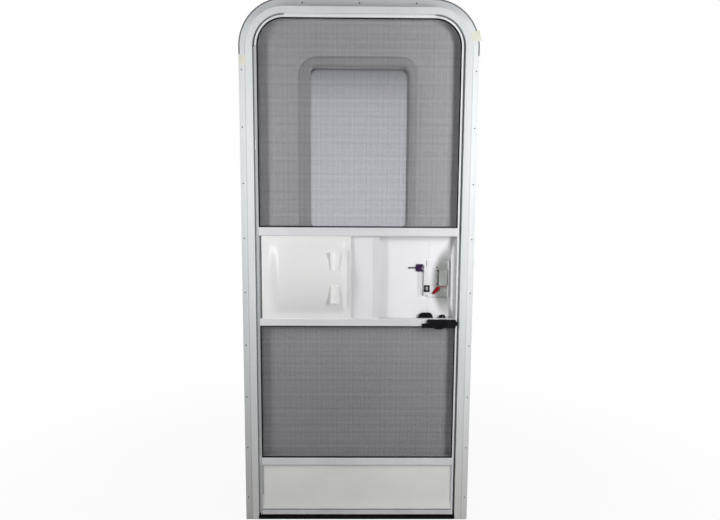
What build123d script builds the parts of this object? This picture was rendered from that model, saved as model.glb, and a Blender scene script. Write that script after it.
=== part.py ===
# Caravan entry door: a radius-top frame that holds an insect screen door and an
# insulated entry door, both turning on one hinge line at the left.
# +X is right as seen from inside, +Y points to the outside, +Z is up, in mm.
# The origin is the bottom centre of the flange face that beds on the wall.
import os
from math import sqrt

from build123d import *

os.makedirs("parts", exist_ok=True)

# Doorway and frame
opening_half = 359.0
opening_top = 1814.0
opening_radius = 106.0
jamb_face = 22.0
jamb_depth = 45.0
jamb_wall = 1.8
side_flange = 32.0
head_flange = 39.0
sill_flange = 27.0
sill_face = 9.0
flange_thick = 2.0
threshold_thick = 1.5

# Fixing holes in the flange
screw_hole = 4.8
screw_edge = 9.5
screw_first = 87.0
screw_below_bend = 71.0
screw_rows = 9
head_screw_pitch = 194.0
head_screw_edge = 16.0

# Screen door frame
screen_side_gap = 7.5
screen_head_gap = 5.5
screen_foot_gap = 5.5
screen_front = -43.0
screen_back = -25.0
screen_radius = 98.5
stile_face = 6.0
rebate = 4.0
head_rail_face = 7.0
rail_front = -45.0
rail_back = -23.0
rail_bevel = 2.0
bottom_rail_face = 23.0
kick_rail_face = 27.0
hatch_below_head = 744.5
hatch_height = 293.5
hatch_low_rail_face = 26.0
hatch_high_rail_face = 30.0

# Mesh, mesh cord and kick panel
mesh_front = -37.0
mesh_thick = 1.0
cord_depth = 4.0
kick_height = 167.5
kick_thick = 2.0
kick_field_margin = 14.0
kick_field_rise = 2.0

# Fixed half of the hatch
fixed_beyond_slider = 89.0
fixed_front = -32.0
fixed_thick = 2.0
strip_width = 22.0
strip_front = -33.0
strip_back = -27.0
strip_bevel = 1.5

# Sliding half of the hatch
slider_stop = 8.0
slider_width = 311.5
slider_front = -41.0
slider_thick = 3.0
slider_grip = 6.0
slot_side_clear = 0.5
slot_end_clear = 1.5
swell_side = 24.0
swell_free_side = 14.0
swell_head = 16.0
swell_foot = 22.0
swell_height = 24.0
swell_slope = 15.0
swell_free_slope = 4.0
swell_wall = 2.5
pull_from_edge = 58.6
pull_wide = 31.0
pull_narrow = 21.0
pull_long = 64.0
pull_gap = 54.0
pull_crest = 2.5
pull_sink = 0.5
pull_channel = 12.0
pull_channel_depth = 3.0

# Catch of the screen door
catch_long = 118.5
catch_height = 30.0
catch_thick = 9.0
catch_drop = 2.0
catch_tab = 18.0
catch_tab_thick = 6.0
catch_tab_height = 15.0
catch_round = 3.0
catch_ribs = 7
catch_rib_pitch = 8.0
catch_rib_cut = 3.0
catch_rib_depth = 1.2
catch_belly_long = 34.0
catch_belly_drop = 4.0
catch_bolt_tip = 0.5
catch_bolt_long = 46.0
catch_bolt_height = 15.0
catch_bolt_thick = 4.5
catch_bolt_clear = 0.5
catch_bolt_nose = 3.0
grip_thick = 6.0
grip_wide = 52.0
grip_slant = 8.0
grip_round = 6.0
grip_from_edge = 79.5
grip_rise = 23.0
small_grip_wide = 26.0
small_grip_slant = 4.0
small_grip_round = 3.0
small_grip_from_edge = 34.5
small_grip_rise = 12.0

# Entry door leaf
leaf_hinge_gap = 13.0
leaf_strike_gap = 7.0
leaf_head_gap = 7.0
leaf_foot_gap = 7.0
leaf_radius = 99.0
leaf_inner = -12.0
leaf_outer = 20.0
skin_thick = 1.5
edge_width = 8.0
lip_overlap = 9.0
lip_front = 7.0
lip_thick = 2.0
seal_clear = 0.3
seal_width = 5.0

# Window in the entry door
window_half = 208.0
window_below_head = 126.0
window_height = 633.0
window_radius = 67.0
window_trim = 40.0
trim_proud = 5.5
trim_bevel = 3.0
window_lip = 4.0
glass_inset = 22.0
glass_front = 2.0
glass_thick = 4.0

# Lock pan and lock case of the entry door
lock_drop = 4.75
scoop_sphere = 500.0
scoop_rim = 175.0
scoop_outset = 85.0
scoop_margin = 2.0
scoop_wall_run = 19.0
pan_width = 94.0
pan_half = 158.0
pan_floor = 3.0
case_from_edge = 30.0
case_width = 79.0
case_half = 67.0
case_proud = 5.0
case_round = 7.0
case_bevel = 1.5
pocket_rim = 2.0
pocket_width = 52.0
pocket_foot = 40.0
pocket_height = 58.0
pocket_deep = 12.0
paddle_wide = 31.0
paddle_thick = 5.0
paddle_clear = 2.0
paddle_pin = 1.5
pin_end_clear = 0.5
lever_in = 41.0
lever_up = 24.0
lever_hub = 6.5
lever_reach = 30.0
lever_width = 9.0
lever_thick = 5.0
lever_tilt = 38.0
lever_gap = 0.5

# Bolt, strike and outside handle of the entry door
bolt_reach = 3.0
bolt_half = 14.0
bolt_inset = 4.0
bolt_thick = 12.0
strike_half = 40.0
strike_thick = 1.5
handle_from_edge = 16.0
handle_width = 74.0
handle_half = 78.0
handle_round = 12.0
handle_thick = 14.0
handle_draft = 12.0
handle_rim = 11.0
dish_deep = 11.0
dish_height = 38.0
dish_round = 8.0
lift_height = 46.0
lift_proud = 3.0
cylinder_radius = 9.0
cylinder_proud = 3.0
cylinder_pitch = 28.0

# Key and tag on the inner skin
key_above_lock = 36.0
key_from_case = 15.0
key_head_wide = 24.0
key_head_half = 14.0
key_head_round = 6.0
key_ring_radius = 3.0
key_blade_long = 32.0
key_blade_high = 6.0
key_thick = 2.0
tag_gap = 1.0
tag_width = 13.0
tag_height = 106.0
tag_thick = 0.8

# Hinge line shared by both doors
hinge_out = 19.0
knuckle_radius = 6.0
knuckle_long = 31.0
knuckle_gap = 0.5
leaf_plate = 2.0
leaf_plate_bevel = 5.0
hinge_foot = 208.5
hinge_below_bend = 373.5
frame_leaf_width = 25.0
door_leaf_width = 70.0
arm_plate = 2.0
arm_level = 3.5
arm_notch = 6.0

# Places worked out from the sizes above
opening_bottom = sill_flange + sill_face
jamb_half = opening_half + jamb_face
flange_half = jamb_half + side_flange
flange_top = opening_top + jamb_face + head_flange
flange_radius = opening_radius + jamb_face + side_flange
bend_x = opening_half - opening_radius
bend_z = opening_top - opening_radius
threshold_top = opening_bottom + threshold_thick
screen_half = opening_half - screen_side_gap
screen_top = opening_top - screen_head_gap
screen_bottom = threshold_top + screen_foot_gap
face_half = screen_half - stile_face
sight_half = face_half - rebate
mesh_back = mesh_front + mesh_thick
bottom_rail_top = screen_bottom + bottom_rail_face
kick_rail_low = bottom_rail_top + kick_height
kick_rail_top = kick_rail_low + kick_rail_face
hatch_top = opening_top - hatch_below_head
hatch_bottom = hatch_top - hatch_height
hatch_middle = (hatch_bottom + hatch_top) / 2
high_rail_top = hatch_top + hatch_high_rail_face
low_rail_bottom = hatch_bottom - hatch_low_rail_face
leaf_left = -opening_half + leaf_hinge_gap
leaf_right = opening_half - leaf_strike_gap
leaf_top = opening_top - leaf_head_gap
leaf_bottom = threshold_top + leaf_foot_gap
lock_middle = hatch_middle - lock_drop
hinge_x = -opening_half - hinge_out
hinge_y = leaf_outer + leaf_plate - knuckle_radius
hinge_top = bend_z - hinge_below_bend
hinge_middle = (hinge_foot + hinge_top) / 2
reach = 2 * (flange_top + flange_half)

nodes = {}


def block(x0, x1, y0, y1, z0, z1):
    # A plain box between two corners.
    centre = Pos((x0 + x1) / 2, (y0 + y1) / 2, (z0 + z1) / 2)
    return centre * Box(x1 - x0, y1 - y0, z1 - z0)


def sheet(left, right, bottom, top):
    # Plain rectangle in an upright sketch.
    return Pos((left + right) / 2, (bottom + top) / 2) * Rectangle(right - left, top - bottom)


def portal(left, right, bottom, top, radius):
    # Doorway outline: square at the foot, rounded at both head corners.
    shape = sheet(left, right, bottom, top)
    return fillet(shape.vertices().group_by(Axis.Y)[-1], radius)


def panel(left, right, bottom, top, radius):
    # Rectangle with four rounded corners.
    centre = Pos((left + right) / 2, (bottom + top) / 2)
    return centre * RectangleRounded(right - left, top - bottom, radius)


def above(level):
    # Everything in an upright sketch over one height.
    return Pos(0, level + reach / 2) * Rectangle(2 * reach, reach)


def prism(sketch, front, back, draft=0):
    # Thickens an upright sketch from its outside face (back) to its inside face (front).
    return Pos(0, back, 0) * Rot(90, 0, 0) * extrude(sketch, back - front, taper=draft)


def column(sketch, low, high):
    # Thickens a plan sketch from one level to another.
    return Pos(0, 0, low) * extrude(sketch, high - low)


def straight_and_corners(ring, names, split_x, split_z):
    # Cuts a radius-top ring into two sides, a head and a pair of head corners.
    left, right, head, corners = names
    low = block(-reach, reach, -reach, reach, -reach, split_z)
    middle = block(-split_x, split_x, -reach, reach, split_z, reach)
    nodes[left] = ring & low & block(-reach, 0, -reach, reach, -reach, reach)
    nodes[right] = ring & low & block(0, reach, -reach, reach, -reach, reach)
    nodes[head] = ring & middle
    nodes[corners] = ring - low - middle


# Frame: a boxed jamb with a flat wall flange, bent round the head
def doorway(offset, bottom):
    side = opening_half + offset
    return portal(-side, side, bottom, opening_top + offset, opening_radius + offset)


def screw_places():
    side = flange_half - screw_edge
    pitch = (bend_z - screw_below_bend - screw_first) / (screw_rows - 1)
    for row in range(screw_rows):
        yield -side, screw_first + row * pitch
        yield side, screw_first + row * pitch
    for step in (-1, 0, 1):
        yield step * head_screw_pitch, flange_top - head_screw_edge


clear_way = doorway(0, -reach)
flange = portal(-flange_half, flange_half, 0, flange_top, flange_radius) - clear_way
for x, z in screw_places():
    flange -= Pos(x, z) * Circle(screw_hole / 2)
jamb_hollow = doorway(jamb_face - jamb_wall, -reach) - doorway(jamb_wall, -reach)
frame_ring = prism(doorway(jamb_face, sill_flange) - clear_way, -jamb_depth, 0)
frame_ring -= prism(jamb_hollow, jamb_wall - jamb_depth, 0)
frame_ring += prism(flange, 0, flange_thick)
straight_and_corners(
    frame_ring, ("left_jamb", "right_jamb", "head_jamb", "head_corners"), bend_x, bend_z
)

sill = block(-opening_half, opening_half, -jamb_depth, 0, sill_flange, opening_bottom)
sill -= block(
    -opening_half, opening_half, jamb_wall - jamb_depth, 0,
    sill_flange + jamb_wall, opening_bottom - jamb_wall,
)
sill += block(-opening_half, opening_half, 0, flange_thick, 0, opening_bottom)
nodes["sill"] = sill

threshold_front = -jamb_depth - threshold_thick
threshold = block(-opening_half, opening_half, threshold_front, flange_thick, sill_flange, threshold_top)
threshold -= block(-opening_half, opening_half, -jamb_depth, flange_thick, 0, opening_bottom)
nodes["threshold_strip"] = threshold


# Weather seal between the flange and the lip of the entry door
def lip_outline(inset):
    side = opening_half + lip_overlap - inset
    return portal(
        -side, side, opening_bottom - lip_overlap + inset, opening_top + lip_overlap - inset,
        opening_radius + lip_overlap - inset,
    )


seal = prism(lip_outline(0) - lip_outline(seal_width), flange_thick, lip_front - seal_clear)
for low in (hinge_foot, hinge_top):
    arm_low = low + knuckle_long
    seal -= block(-reach, 0, -reach, reach, arm_low - arm_notch, arm_low + knuckle_long + arm_notch)
nodes["frame_seal"] = seal


# Screen door frame: stiles and rails with a rebate for the mesh and the panels
def screen_way(side_inset, head_inset):
    side = screen_half - side_inset
    return portal(-side, side, -reach, screen_top - head_inset, screen_radius - head_inset)


screen_outline = portal(-screen_half, screen_half, screen_bottom, screen_top, screen_radius)
screen_face = screen_way(stile_face, head_rail_face)
screen_sight = screen_way(stile_face + rebate, head_rail_face + rebate)
screen_ring = prism(screen_outline - screen_face, screen_front, screen_back)
screen_ring += prism(screen_outline - screen_sight, mesh_back, screen_back)
straight_and_corners(
    screen_ring, ("screen_left_stile", "screen_right_stile", "screen_head_rail", "screen_corners"),
    screen_half - screen_radius, screen_top - screen_radius,
)


def screen_rail(low, high, low_rebate, high_rebate):
    # A cross rail: its face reaches the stiles, its back carries the rebates.
    face = block(-face_half, face_half, rail_front, mesh_back, low, high)
    face = chamfer(face.edges().filter_by(Axis.X).group_by(Axis.Y)[0], rail_bevel)
    return face + block(
        -sight_half, sight_half, mesh_back, rail_back, low - low_rebate, high + high_rebate
    )


slider_back = slider_front + slider_thick
fixed_back = fixed_front + fixed_thick
slider_slot = block(
    -reach, reach, slider_front - slot_side_clear, slider_back + slot_side_clear,
    hatch_bottom - slider_grip - slot_end_clear, hatch_top + slider_grip + slot_end_clear,
)
fixed_slot = block(
    -reach, reach, fixed_front, fixed_back, hatch_bottom - slider_grip, hatch_top + slider_grip
)
nodes["screen_bottom_rail"] = screen_rail(screen_bottom, bottom_rail_top, 0, rebate)
nodes["kick_rail"] = screen_rail(kick_rail_low, kick_rail_top, rebate, rebate)
low_rail = screen_rail(low_rail_bottom, hatch_bottom, rebate, 0)
nodes["hatch_low_rail"] = low_rail - slider_slot - fixed_slot
high_rail = screen_rail(hatch_top, high_rail_top, 0, rebate)
nodes["hatch_high_rail"] = high_rail - slider_slot - fixed_slot

# Insect mesh and the rubber cord that wedges it into the rebate
upper_mesh = screen_face & above(high_rail_top)
lower_mesh = sheet(-face_half, face_half, kick_rail_top, low_rail_bottom)
upper_sight = screen_sight & above(high_rail_top + rebate)
lower_sight = sheet(-sight_half, sight_half, kick_rail_top + rebate, low_rail_bottom - rebate)
mesh_cord = (upper_mesh - upper_sight) + (lower_mesh - lower_sight)
nodes["upper_mesh"] = prism(upper_mesh, mesh_front, mesh_back)
nodes["lower_mesh"] = prism(lower_mesh, mesh_front, mesh_back)
nodes["mesh_cords"] = prism(mesh_cord, mesh_front - cord_depth, mesh_front)

# Kick panel with a pressed field
kick_front = mesh_back - kick_thick
kick_panel = block(-face_half, face_half, kick_front, mesh_back, bottom_rail_top, kick_rail_low)
kick_field = block(
    -face_half + kick_field_margin, face_half - kick_field_margin, kick_front - kick_field_rise, mesh_back,
    bottom_rail_top + kick_field_margin, kick_rail_low - kick_field_margin,
)
kick_panel += chamfer(kick_field.edges().group_by(Axis.Y)[0], kick_field_rise)
nodes["kick_panel"] = kick_panel

# Sliding half of the hatch: a thin moulding with a barrel-shaped swell and two finger pulls
slider_left = -face_half + slider_stop
slider_right = slider_left + slider_width
swell_low = hatch_bottom + swell_foot
swell_high = hatch_top - swell_head
swell_middle = (swell_low + swell_high) / 2
swell_half = (swell_high - swell_low) / 2
swell_radius = (swell_half ** 2 + swell_height ** 2) / (2 * swell_height)
swell_front = slider_front - swell_height


def barrel(shrink):
    # A slice of a lying cylinder, with one gently and one steeply sloping end.
    left = slider_left + swell_side + shrink
    right = slider_right - swell_free_side - shrink
    plan = Polyline(
        [(left, slider_back), (right, slider_back), (right, slider_front),
         (right - swell_free_slope, swell_front),
         (left + swell_slope, swell_front), (left, slider_front)], close=True,
    )
    axis = Pos((left + right) / 2, swell_front + swell_radius, swell_middle) * Rot(0, 90, 0)
    return axis * Cylinder(swell_radius - shrink, slider_width) & column(
        make_face(plan), hatch_bottom, hatch_top
    )


def finger_pull(outer, inner):
    # Grows out of the swell, widens and rises towards its outer end, and has a finger channel.
    centre = slider_right - pull_from_edge
    crest = swell_front - pull_crest
    plan = Polyline(
        [(centre - pull_wide / 2, outer), (centre + pull_wide / 2, outer),
         (centre + pull_narrow / 2, inner), (centre - pull_narrow / 2, inner)], close=True,
    )
    side = Polyline(
        [(slider_front, outer), (crest, outer), (swell_front + pull_sink, inner), (slider_front, inner)],
        close=True,
    )
    ramp = extrude(Plane.YZ * make_face(side), reach, both=True)
    channel = Pos(centre, crest + pull_channel_depth - pull_channel, (outer + inner) / 2)
    pull = prism(make_face(plan), crest, slider_front) & ramp
    return pull - channel * Cylinder(pull_channel, 2 * pull_long)


slider = block(
    slider_left, slider_right, slider_front, slider_back,
    hatch_bottom - slider_grip, hatch_top + slider_grip,
)
slider += barrel(0)
for side in (-1, 1):
    inner_end = swell_middle + side * pull_gap / 2
    slider += finger_pull(inner_end + side * pull_long, inner_end)
slider -= barrel(swell_wall)
nodes["slider_panel"] = slider

# Fixed half of the hatch and the strip on its free edge
fixed_right = slider_right + fixed_beyond_slider
nodes["fixed_panel"] = fixed_slot & block(-sight_half, fixed_right, -reach, reach, -reach, reach)
strip_left = fixed_right - strip_width / 2
edge_strip = block(strip_left, strip_left + strip_width, strip_front, strip_back, hatch_bottom, hatch_top)
edge_strip = chamfer(edge_strip.edges().filter_by(Axis.Z), strip_bevel)
edge_strip -= block(-reach, fixed_right, fixed_front, fixed_back, -reach, reach)
nodes["panel_edge_strip"] = edge_strip

# Catch: a ribbed case on the rail, its sliding bolt, and two grips on the outer side
catch_left = face_half - catch_long
catch_low = (low_rail_bottom + hatch_bottom - catch_height) / 2 - catch_drop
catch_high = catch_low + catch_height
catch_front = rail_front - catch_thick
catch_body = panel(catch_left + catch_tab, face_half, catch_low, catch_high, catch_round)
belly_middle = catch_left + catch_long / 2
catch_body += panel(
    belly_middle - catch_belly_long / 2, belly_middle + catch_belly_long / 2,
    catch_low - catch_belly_drop, catch_high, catch_belly_drop,
)
catch_case = prism(catch_body, catch_front, rail_front)
for rib in range(catch_ribs):
    x = belly_middle + (rib - (catch_ribs - 1) / 2) * catch_rib_pitch
    catch_case -= block(
        x - catch_rib_cut / 2, x + catch_rib_cut / 2, catch_front, catch_front + catch_rib_depth,
        -reach, reach,
    )
catch_case += block(
    catch_left, catch_left + catch_tab + catch_round, rail_front - catch_tab_thick, rail_front,
    catch_low, catch_low + catch_tab_height,
)
bolt_tip = screen_half + catch_bolt_tip
bolt_y = rail_front - catch_thick / 2
bolt_z = (catch_low + catch_high) / 2
bolt_room = block(
    bolt_tip - catch_bolt_long - catch_bolt_clear, reach,
    bolt_y - catch_bolt_thick / 2 - catch_bolt_clear, bolt_y + catch_bolt_thick / 2 + catch_bolt_clear,
    bolt_z - catch_bolt_height / 2 - catch_bolt_clear, bolt_z + catch_bolt_height / 2 + catch_bolt_clear,
)
nodes["screen_catch_case"] = catch_case - bolt_room
catch_bolt = block(
    bolt_tip - catch_bolt_long, bolt_tip, bolt_y - catch_bolt_thick / 2, bolt_y + catch_bolt_thick / 2,
    bolt_z - catch_bolt_height / 2, bolt_z + catch_bolt_height / 2,
)
nodes["screen_catch_bolt"] = fillet(
    catch_bolt.edges().filter_by(Axis.Y).group_by(Axis.X)[-1], catch_bolt_nose
)


def grip(left, wide, slant, rise, radius):
    # A tab on the outer face of the rail, with rounded shoulders over its top edge.
    head = hatch_bottom + rise
    right = left + wide
    points = [
        (left, low_rail_bottom), (right, low_rail_bottom), (right, hatch_bottom),
        (right - slant, head), (left + slant, head), (left, hatch_bottom),
    ]
    tab = make_face(Polyline(points, close=True))
    tab = fillet(tab.vertices().group_by(Axis.Y)[-1], radius)
    return prism(tab, rail_back, rail_back + grip_thick)


nodes["screen_catch_grips"] = grip(
    face_half - grip_from_edge - grip_wide, grip_wide, grip_slant, grip_rise, grip_round
) + grip(
    face_half - small_grip_from_edge - small_grip_wide, small_grip_wide, small_grip_slant,
    small_grip_rise, small_grip_round,
)


# Entry door leaf: edge extrusion with a lip, two skins and a foam core
def leaf_outline(inset):
    return portal(
        leaf_left + inset, leaf_right - inset, leaf_bottom + inset, leaf_top - inset, leaf_radius - inset
    )


core_outline = leaf_outline(edge_width)
leaf_foot = leaf_bottom + edge_width
leaf_ring = prism(leaf_outline(0) - core_outline, leaf_inner, leaf_outer)
leaf_ring += prism(lip_outline(0) - core_outline, lip_front, lip_front + lip_thick)
straight_and_corners(
    leaf_ring & block(-reach, reach, -reach, reach, leaf_foot, reach),
    ("door_left_edge", "door_right_edge", "door_head_edge", "door_edge_corners"),
    leaf_right - leaf_radius, leaf_top - leaf_radius,
)
nodes["door_bottom_edge"] = leaf_ring & block(-reach, reach, -reach, reach, 0, leaf_foot)

window_top = leaf_top - window_below_head
window_bottom = window_top - window_height


def window_outline(inset):
    return panel(
        -window_half + inset, window_half - inset, window_bottom + inset, window_top - inset,
        window_radius - inset,
    )


pan_right = leaf_right - edge_width
pan_left = pan_right - pan_width
pan_low = lock_middle - pan_half
pan_high = lock_middle + pan_half
pan_back = leaf_inner + scoop_wall_run + pan_floor
pan_space = block(pan_left, pan_right, leaf_inner, pan_back, pan_low, pan_high)
window_hole = prism(window_outline(glass_inset), leaf_inner, leaf_outer)
core_front = leaf_inner + skin_thick
core_back = leaf_outer - skin_thick
nodes["inner_skin"] = prism(core_outline, leaf_inner, core_front) - window_hole - pan_space
nodes["door_core"] = prism(core_outline, core_front, core_back) - window_hole - pan_space
nodes["outer_skin"] = prism(core_outline, core_back, leaf_outer) - window_hole

# Window: obscured glass clamped between an inner and an outer ring
glass_back = glass_front + glass_thick
glass_stop = window_outline(window_trim - window_lip) - window_outline(window_trim)
window_ring = window_outline(0) - window_outline(window_trim)
inner_ring = prism(window_ring, leaf_inner - trim_proud, leaf_inner)
inner_ring = chamfer(inner_ring.edges().group_by(Axis.Y)[0], trim_bevel)
nodes["window_inner_trim"] = inner_ring + prism(glass_stop, leaf_inner, glass_front)
outer_ring = prism(window_ring, leaf_outer, leaf_outer + trim_proud)
nodes["window_outer_frame"] = outer_ring + prism(glass_stop, glass_back, leaf_outer)
nodes["window_glass"] = prism(window_outline(glass_inset), glass_front, glass_back)

# Lock pan: a ball-shaped scoop that ends in a steep wall beside the door's edge
scoop_offset = sqrt(scoop_sphere ** 2 - scoop_rim ** 2)
scoop_end = leaf_right - edge_width - scoop_margin
scoop_wall = Polyline(
    [(0, leaf_inner), (scoop_end, leaf_inner), (scoop_end - scoop_wall_run, leaf_inner + scoop_wall_run),
     (0, leaf_inner + scoop_wall_run)], close=True,
)
scoop = Pos(leaf_right + scoop_outset, leaf_inner - scoop_offset, lock_middle) * Sphere(scoop_sphere)
scoop &= column(make_face(scoop_wall), pan_low, pan_high)
nodes["lock_pan"] = pan_space - scoop

# Lock case: its back fills the scoop, and its pocket takes the paddle
case_right = leaf_right - case_from_edge
case_left = case_right - case_width
case_low = lock_middle - case_half
case_high = lock_middle + case_half
case_front = leaf_inner - case_proud
case_face = prism(panel(case_left, case_right, case_low, case_high, case_round), case_front, leaf_inner)
lock_case = chamfer(case_face.edges().group_by(Axis.Y)[0], case_bevel)
lock_case += scoop & block(case_left, case_right, leaf_inner, pan_back, case_low, case_high)
pocket_right = case_right - pocket_rim
pocket_left = pocket_right - pocket_width
pocket_low = case_low + pocket_foot
pocket_high = pocket_low + pocket_height
lock_case -= block(
    pocket_left, pocket_right, case_front, case_front + pocket_deep, pocket_low, pocket_high
)
nodes["lock_case"] = lock_case

paddle_low = pocket_low + paddle_clear
paddle_high = pocket_high - paddle_clear
paddle_pivot = pocket_right - paddle_clear - paddle_thick / 2
paddle_y = case_front + paddle_thick / 2
paddle_left = pocket_right - paddle_clear - paddle_wide
paddle = block(
    paddle_left, paddle_pivot, case_front, case_front + paddle_thick, paddle_low, paddle_high
)
paddle += column(Pos(paddle_pivot, paddle_y) * Circle(paddle_thick / 2), paddle_low, paddle_high)
paddle += column(
    Pos(paddle_pivot, paddle_y) * Circle(paddle_pin), pocket_low + pin_end_clear, pocket_high - pin_end_clear
)
nodes["lock_paddle"] = paddle

lever_centre = Pos(case_left + lever_in, case_low + lever_up)
lever_back = case_front - lever_gap
lever_arm = Rot(0, 0, lever_tilt) * Pos(-lever_reach / 2, 0) * SlotCenterToCenter(lever_reach, lever_width)
lever = prism(lever_centre * (lever_arm + Circle(lever_hub)), lever_back - lever_thick, lever_back)
nodes["deadbolt_lever"] = lever

# Bolt and strike plate
bolt_front = leaf_inner + bolt_inset
bolt_wedge = Polyline(
    [(leaf_right, bolt_front), (leaf_right + bolt_reach, bolt_front),
     (leaf_right, bolt_front + bolt_thick)], close=True,
)
nodes["door_bolt"] = column(make_face(bolt_wedge), lock_middle - bolt_half, lock_middle + bolt_half)
nodes["strike_plate"] = block(
    opening_half - strike_thick, opening_half, leaf_inner, 0,
    lock_middle - strike_half, lock_middle + strike_half,
)

# Outside handle: a moulded housing with a dished grip, a lift bar and two key cylinders
handle_right = leaf_right - handle_from_edge
handle_left = handle_right - handle_width
handle_low = lock_middle - handle_half
handle_high = lock_middle + handle_half
handle_back = leaf_outer + handle_thick
handle_outline = panel(handle_left, handle_right, handle_low, handle_high, handle_round)
handle = Pos(0, leaf_outer, 0) * Rot(90, 0, 0) * extrude(handle_outline, -handle_thick, taper=handle_draft)
dish_low = handle_low + handle_rim
dish_high = dish_low + dish_height
dish = panel(handle_left + handle_rim, handle_right - handle_rim, dish_low, dish_high, dish_round)
handle -= prism(dish, handle_back - dish_deep, handle_back)
lift_top = dish_high + lift_height
lift = sheet(handle_left + handle_rim, handle_right - handle_rim, dish_high, lift_top)
handle += prism(lift, handle_back, handle_back + lift_proud)
for step in range(2):
    cylinder_z = lift_top + handle_rim + step * cylinder_pitch
    cylinder = Pos((handle_left + handle_right) / 2, cylinder_z) * Circle(cylinder_radius)
    handle += prism(cylinder, handle_back, handle_back + cylinder_proud)
nodes["outer_handle"] = handle

# Key and its tag, lying on the inner skin
key_z = lock_middle + key_above_lock
key_right = case_left - key_from_case
key_left = key_right - key_head_wide
key_head = panel(key_left, key_right, key_z - key_head_half, key_z + key_head_half, key_head_round)
key_head -= Pos(key_right - 2 * key_ring_radius, key_z) * Circle(key_ring_radius)
key = prism(key_head, leaf_inner - 2 * key_thick, leaf_inner)
key += block(
    key_left - key_blade_long, key_left, leaf_inner - key_thick, leaf_inner,
    key_z - key_blade_high / 2, key_z + key_blade_high / 2,
)
tag_left = key_right + tag_gap
tag_top = key_z + key_head_half
tag = block(
    tag_left, tag_left + tag_width, leaf_inner - tag_thick, leaf_inner, tag_top - tag_height, tag_top
)
nodes["door_key"] = key + tag


# Hinges: four knuckles in a row, of which the end ones are fixed and the pin inside is left out.
# The screen door has the second knuckle, the entry door the third; the middle hinge has no
# screen knuckle, so the entry door takes both places there.
def knuckle(low, first, count):
    start = low + first * knuckle_long + knuckle_gap / 2
    end = low + (first + count) * knuckle_long - knuckle_gap / 2
    return start, end, column(Pos(hinge_x, hinge_y) * Circle(knuckle_radius), start, end)


def frame_leaf(low):
    web = hinge_x - knuckle_radius
    high = low + 4 * knuckle_long
    plate = block(
        web - frame_leaf_width, web + leaf_plate, flange_thick, flange_thick + leaf_plate, low, high
    )
    leaf = chamfer(plate.edges().filter_by(Axis.Y).group_by(Axis.X)[0], leaf_plate_bevel)
    for place in (0, 3):
        start, end, tube = knuckle(low, place, 1)
        leaf += tube + block(web, web + leaf_plate, flange_thick, hinge_y, start, end)
    return leaf


def door_leaf(low, first, count):
    start, end, tube = knuckle(low, first, count)
    plate = block(hinge_x, hinge_x + door_leaf_width, leaf_outer, leaf_outer + leaf_plate, start, end)
    return tube + chamfer(plate.edges().filter_by(Axis.Y).group_by(Axis.X)[-1], leaf_plate_bevel)


def screen_arm(low):
    # A strap that passes under the lip and reaches the screen door's stile.
    start, end, tube = knuckle(low, 1, 1)
    near = hinge_x - arm_plate / 2
    arm = tube + block(near, near + arm_plate, arm_level, hinge_y, start, end)
    arm += block(near, -screen_half, arm_level, arm_level + arm_plate, start, end)
    return arm + block(
        -screen_half - arm_plate, -screen_half, screen_front, arm_level + arm_plate, start, end
    )


nodes["hinge_frame_leaves"] = frame_leaf(hinge_foot) + frame_leaf(hinge_middle) + frame_leaf(hinge_top)
nodes["hinge_door_leaves"] = (
    door_leaf(hinge_foot, 2, 1) + door_leaf(hinge_middle, 1, 2) + door_leaf(hinge_top, 2, 1)
)
nodes["screen_hinge_arms"] = screen_arm(hinge_foot) + screen_arm(hinge_top)

for name, shape in nodes.items():
    export_step(shape, f"parts/{name}.step")
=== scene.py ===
import math

import bmesh
import bpy
from mathutils import Matrix, Vector


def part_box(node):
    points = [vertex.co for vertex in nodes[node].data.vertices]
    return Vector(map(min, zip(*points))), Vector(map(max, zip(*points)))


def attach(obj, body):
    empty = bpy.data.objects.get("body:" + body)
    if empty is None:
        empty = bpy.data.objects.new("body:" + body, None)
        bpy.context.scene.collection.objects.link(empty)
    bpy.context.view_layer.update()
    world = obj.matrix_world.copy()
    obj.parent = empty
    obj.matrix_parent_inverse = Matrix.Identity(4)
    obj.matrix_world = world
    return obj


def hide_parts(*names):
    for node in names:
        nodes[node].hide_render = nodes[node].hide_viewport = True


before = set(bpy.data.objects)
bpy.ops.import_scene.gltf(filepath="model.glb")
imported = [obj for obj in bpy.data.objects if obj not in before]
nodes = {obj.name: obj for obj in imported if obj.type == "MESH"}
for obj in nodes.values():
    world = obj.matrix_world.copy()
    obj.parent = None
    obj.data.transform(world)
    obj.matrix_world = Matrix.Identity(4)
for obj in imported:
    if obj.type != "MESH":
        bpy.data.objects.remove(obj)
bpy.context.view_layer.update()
touching = 1e-6  # shorter lengths count as nothing
print("frame loaded,", len(nodes), "nodes")

# camera a little above the hatch, looking slightly down
view = {
    "place": (-0.0169, -2.2545, 1.2647),
    "pitch": 0.1253,
    "yaw": 0.01053,
    "roll": 0.00577,
    "focal": 637.85,  # in pixels of the 720 wide picture
    "width": 720,
    "sensor": 36.0,
}


def setCamera():
    data = bpy.data.cameras.new("doorCamera")
    data.sensor_width = view["sensor"]
    data.lens = view["focal"] / view["width"] * view["sensor"]
    camera = bpy.data.objects.new("doorCamera", data)
    bpy.context.collection.objects.link(camera)
    turn = Matrix.Rotation(-view["yaw"], 4, "Z")
    turn = turn @ Matrix.Rotation(math.pi / 2 - view["pitch"], 4, "X")
    turn = turn @ Matrix.Rotation(view["roll"], 4, "Z")
    camera.matrix_world = Matrix.Translation(view["place"]) @ turn
    bpy.context.scene.camera = camera


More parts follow.
